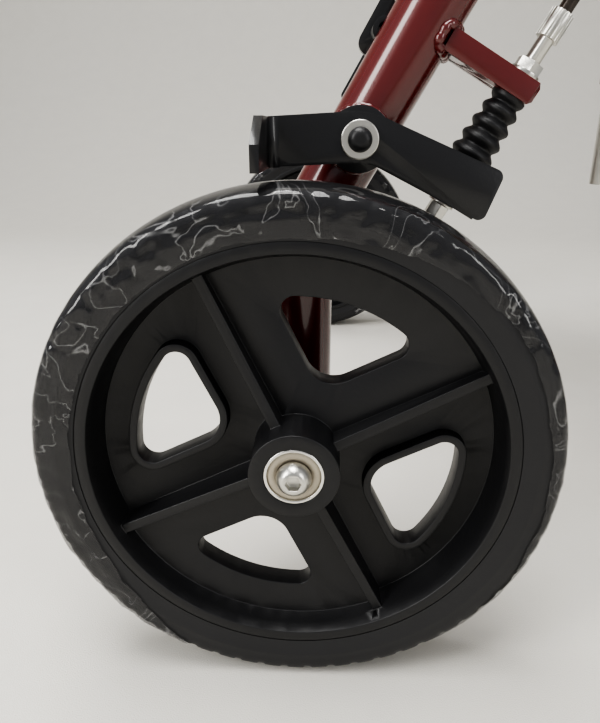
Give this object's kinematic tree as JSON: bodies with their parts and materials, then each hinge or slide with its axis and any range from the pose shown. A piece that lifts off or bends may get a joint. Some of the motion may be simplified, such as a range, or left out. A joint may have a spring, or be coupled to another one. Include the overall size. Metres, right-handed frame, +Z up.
{
  "type": "knee scooter",
  "caption": "Steerable knee scooter: burgundy tube frame, padded knee rest, folding handlebar column, spoked rear wheels with cable-worked brake arms pressing on the tread.",
  "frame": {"origin": "on the floor under the middle of the wheelbase, centred between the wheels", "axes": "+X forward, +Y to the rider's left, +Z up"},
  "size_m": [0.82, 0.555, 0.919],
  "materials": {
    "burgundy_paint": "glossy deep red clear-coated paint",
    "black_paint": "glossy black powder coat",
    "zinc": "zinc-plated steel",
    "bearing_steel": "ground bearing steel",
    "alloy": "satin anodised",
    "rim_plastic": "satin black moulded nylon",
    "tyre": "black polyurethane",
    "rubber": "black rubber",
    "grip_foam": "black moulded grip",
    "cable_black": "black cable housing",
    "black_plastic": "black moulded plastic",
    "pad_vinyl": "black upholstery vinyl",
    "board": "plywood"
  },
  "bodies": {
    "frame": {"spine_tube": "burgundy_paint", "head_tube": "burgundy_paint", "post_socket": "burgundy_paint", "rear_crossbar": "burgundy_paint", "rear_leg_right": "burgundy_paint", "rear_leg_left": "burgundy_paint", "cable_tabs": "burgundy_paint", "leg_plugs": "black_plastic", "rear_axle_bolts": "zinc", "rear_axle_sleeves": "bearing_steel", "pivot_bolts": "zinc", "pivot_bosses": "black_paint", "pivot_caps": "black_plastic", "barrel_adjusters": "zinc", "side_brackets": "black_paint", "bracket_screws": "zinc", "headset_cups": "black_paint", "post_clamp": "alloy", "frame_cables": "cable_black", "frame_clips": "black_plastic", "brake_bellows": "rubber", "return_springs": "zinc", "brake_wires": "zinc"},
    "brake_right": {"brake_arm_right": "black_paint", "cable_anchor_right": "zinc"},
    "brake_left": {"brake_arm_left": "black_paint", "cable_anchor_left": "zinc"},
    "steering": {"steering_spindle": "zinc", "front_axle_beam": "burgundy_paint", "front_axle_bolts": "zinc", "front_axle_sleeves": "bearing_steel", "hinge_base": "black_paint"},
    "column": {"column_tube": "burgundy_paint", "stem_clamp": "alloy", "column_clips": "black_plastic", "column_cables": "cable_black"},
    "stem": {"handlebar": "alloy", "grips": "grip_foam", "lever_brackets": "black_plastic", "upper_cables": "cable_black"},
    "hand_lever_right": {"brake_lever_right": "black_paint"},
    "hand_lever_left": {"brake_lever_left": "black_paint"},
    "post_cam": {"post_clamp_lever": "black_paint"},
    "stem_cam": {"stem_clamp_lever": "black_paint"},
    "fold_cam": {"fold_lever": "black_paint"},
    "seat": {"seat_post": "zinc", "pad_board": "board", "knee_pad": "pad_vinyl"},
    "wheel_rear_right": {"rim_rear_right": "rim_plastic", "tyre_rear_right": "tyre", "bearings_rear_right": "bearing_steel"},
    "wheel_rear_left": {"rim_rear_left": "rim_plastic", "tyre_rear_left": "tyre", "bearings_rear_left": "bearing_steel"},
    "wheel_front_right": {"rim_front_right": "rim_plastic", "tyre_front_right": "tyre", "bearings_front_right": "bearing_steel"},
    "wheel_front_left": {"rim_front_left": "rim_plastic", "tyre_front_left": "tyre", "bearings_front_left": "bearing_steel"}
  },
  "joints": [
    {"name": "wheel_rear_right_spin", "type": "hinge", "parent": "frame", "child": "wheel_rear_right", "pos_m": [-0.31, -0.25, 0.1], "axis": [0, 1, 0], "continuous": true},
    {"name": "wheel_rear_left_spin", "type": "hinge", "parent": "frame", "child": "wheel_rear_left", "pos_m": [-0.31, 0.25, 0.1], "axis": [0, 1, 0], "continuous": true},
    {"name": "wheel_front_right_spin", "type": "hinge", "parent": "steering", "child": "wheel_front_right", "pos_m": [0.31, -0.125, 0.1], "axis": [0, 1, 0], "continuous": true},
    {"name": "wheel_front_left_spin", "type": "hinge", "parent": "steering", "child": "wheel_front_left", "pos_m": [0.31, 0.125, 0.1], "axis": [0, 1, 0], "continuous": true},
    {"name": "brake_right_pivot", "type": "hinge", "parent": "frame", "child": "brake_right", "pos_m": [-0.28864, -0.2325, 0.2125], "axis": [0, -1, 0], "range_deg": [0, 6.2], "stiffness_Nm_per_rad": 5, "springref_deg": -5.73, "deforming": ["brake_bellows", "return_springs", "brake_wires"]},
    {"name": "brake_left_pivot", "type": "hinge", "parent": "frame", "child": "brake_left", "pos_m": [-0.28864, 0.2325, 0.2125], "axis": [0, -1, 0], "range_deg": [0, 6.2], "stiffness_Nm_per_rad": 5, "springref_deg": -5.73, "deforming": ["brake_bellows", "return_springs", "brake_wires"]},
    {"name": "steering_turn", "type": "hinge", "parent": "frame", "child": "steering", "pos_m": [0.31, 0, 0.3], "axis": [0, 0, 1], "range_deg": [-40, 40], "deforming": ["frame_cables"]},
    {"name": "column_fold", "type": "hinge", "parent": "steering", "child": "column", "pos_m": [0.31, 0, 0.43], "axis": [0, 1, 0], "range_deg": [-76, 0], "deforming": ["column_cables"]},
    {"name": "stem_slide", "type": "slide", "parent": "column", "child": "stem", "axis": [0, 0, 1], "range_m": [-0.09, 0.09], "deforming": ["upper_cables"]},
    {"name": "hand_lever_right_pivot", "type": "hinge", "parent": "stem", "child": "hand_lever_right", "pos_m": [0.33026, -0.09325, 0.9], "axis": [0, 0, -1], "range_deg": [0, 16], "stiffness_Nm_per_rad": 2, "springref_deg": -5.73},
    {"name": "hand_lever_left_pivot", "type": "hinge", "parent": "stem", "child": "hand_lever_left", "pos_m": [0.33026, 0.09325, 0.9], "axis": [0, 0, 1], "range_deg": [0, 16], "stiffness_Nm_per_rad": 2, "springref_deg": -5.73},
    {"name": "post_cam_pivot", "type": "hinge", "parent": "frame", "child": "post_cam", "pos_m": [-0.129, -0.0153, 0.371], "axis": [0, 0, -1], "range_deg": [0, 110]},
    {"name": "stem_cam_pivot", "type": "hinge", "parent": "column", "child": "stem_cam", "pos_m": [0.28105, -0.0153, 0.751], "axis": [0, 0, -1], "range_deg": [0, 110]},
    {"name": "fold_cam_pivot", "type": "hinge", "parent": "steering", "child": "fold_cam", "pos_m": [0.31, -0.0308, 0.43], "axis": [-1, 0, 0], "range_deg": [0, 110]},
    {"name": "seat_slide", "type": "slide", "parent": "frame", "child": "seat", "axis": [0, 0, 1], "range_m": [0, 0.1]}
  ],
  "couplings": [
    {"joint": "brake_right_pivot", "follows": "hand_lever_right_pivot", "ratio": 0.385},
    {"joint": "brake_left_pivot", "follows": "hand_lever_left_pivot", "ratio": 0.385}
  ]
}
